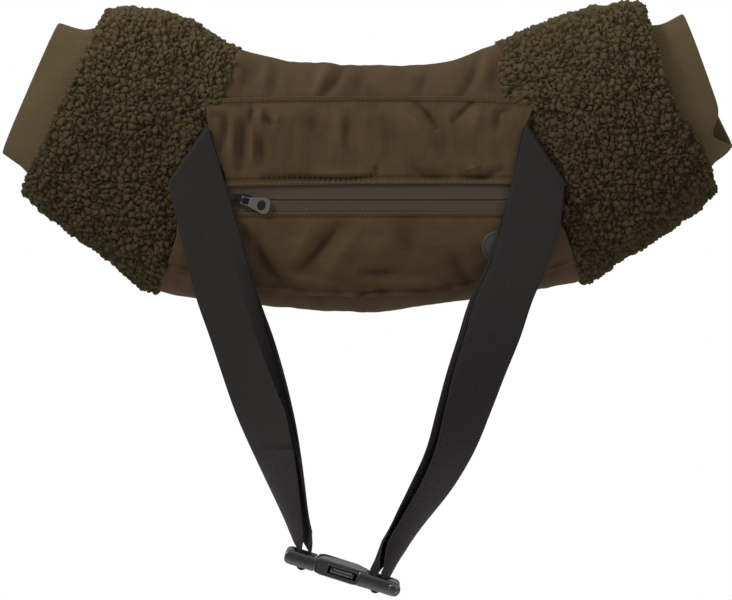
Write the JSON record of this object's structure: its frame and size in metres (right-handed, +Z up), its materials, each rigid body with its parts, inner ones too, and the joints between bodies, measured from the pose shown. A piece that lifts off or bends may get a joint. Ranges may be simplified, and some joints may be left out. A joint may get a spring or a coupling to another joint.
{
  "type": "hand warmer muff",
  "caption": "Padded woven hand muff with fleece and rib-knit cuffs, a zipped front pocket, and a webbing waist belt closed by a side-release buckle.",
  "frame": {"origin": "the middle of the hand tunnel, with the muff hanging upright as it is worn", "axes": "+X along the hand tunnel, +Z up, and the zipped front with its belt faces -Y"},
  "size_m": [0.5104, 0.1025, 0.4128],
  "materials": {
    "shell_twill": "matte",
    "panel_twill": "matte",
    "fleece": "matte",
    "rib_knit": "matte",
    "lining_fleece": "matte",
    "wadding": "matte",
    "pocket_cloth": "matte",
    "zip_tape": "matte",
    "webbing": "matte",
    "zip_coil": "satin",
    "black_plastic": "satin",
    "slider_metal": "gunmetal",
    "puller_metal": "worn nickel",
    "stop_metal": "satin",
    "badge_rubber": "matte"
  },
  "bodies": {
    "muff": {"shell_front": "shell_twill", "shell_back": "shell_twill", "front_panel_upper": "panel_twill", "front_panel_lower": "panel_twill", "fleece_cuff_left": "fleece", "fleece_cuff_right": "fleece", "rib_cuff_left": "rib_knit", "rib_cuff_right": "rib_knit", "lining_left": "lining_fleece", "lining_centre": "lining_fleece", "lining_right": "lining_fleece", "wadding_centre": "wadding", "wadding_left": "wadding", "wadding_right": "wadding", "pocket_bag": "pocket_cloth", "zip_tape_upper": "zip_tape", "zip_tape_lower": "zip_tape", "zip_coil_upper": "zip_coil", "zip_coil_lower": "zip_coil", "zip_stop_left": "stop_metal", "zip_stop_right": "stop_metal", "rubber_badge": "badge_rubber", "tunnel_web_outer": "webbing", "tunnel_web_inner": "webbing"},
    "slider": {"zip_slider": "slider_metal"},
    "puller": {"zip_puller": "puller_metal"},
    "belt": {"strap_left": "webbing", "strap_right": "webbing", "buckle_female": "black_plastic"},
    "male_half": {"buckle_male": "black_plastic", "strap_left_loop": "webbing"},
    "arm_front": {"buckle_arm_front": "black_plastic"},
    "arm_rear": {"buckle_arm_rear": "black_plastic"}
  },
  "joints": [
    {"name": "zip_slide", "type": "slide", "parent": "muff", "child": "slider", "axis": [1, 0, 0], "range_m": [0, 0.16]},
    {"name": "puller_flip", "type": "hinge", "parent": "slider", "child": "puller", "pos_m": [-0.0863, -0.0406, -0.00875], "axis": [-0.2588, 0, -0.9659], "range_deg": [0, 150]},
    {"name": "belt_swing", "type": "hinge", "parent": "muff", "child": "belt", "pos_m": [0, -0.0445, -0.003], "axis": [-1, 0, 0], "range_deg": [0, 120]},
    {"name": "buckle_release", "type": "slide", "parent": "belt", "child": "male_half", "axis": [-0.9537, 0, 0.3007], "range_m": [0, 0.035]},
    {"name": "arm_front_squeeze", "type": "hinge", "parent": "male_half", "child": "arm_front", "pos_m": [-0.03394, -0.063, -0.26144], "axis": [0.3007, 0, 0.9537], "range_deg": [0, 6], "stiffness_Nm_per_rad": 0.02},
    {"name": "arm_rear_squeeze", "type": "hinge", "parent": "male_half", "child": "arm_rear", "pos_m": [-0.03394, -0.03, -0.26144], "axis": [-0.3007, 0, -0.9537], "range_deg": [0, 6], "stiffness_Nm_per_rad": 0.02}
  ],
  "couplings": [
    {"joint": "arm_rear_squeeze", "follows": "arm_front_squeeze", "ratio": 1}
  ]
}
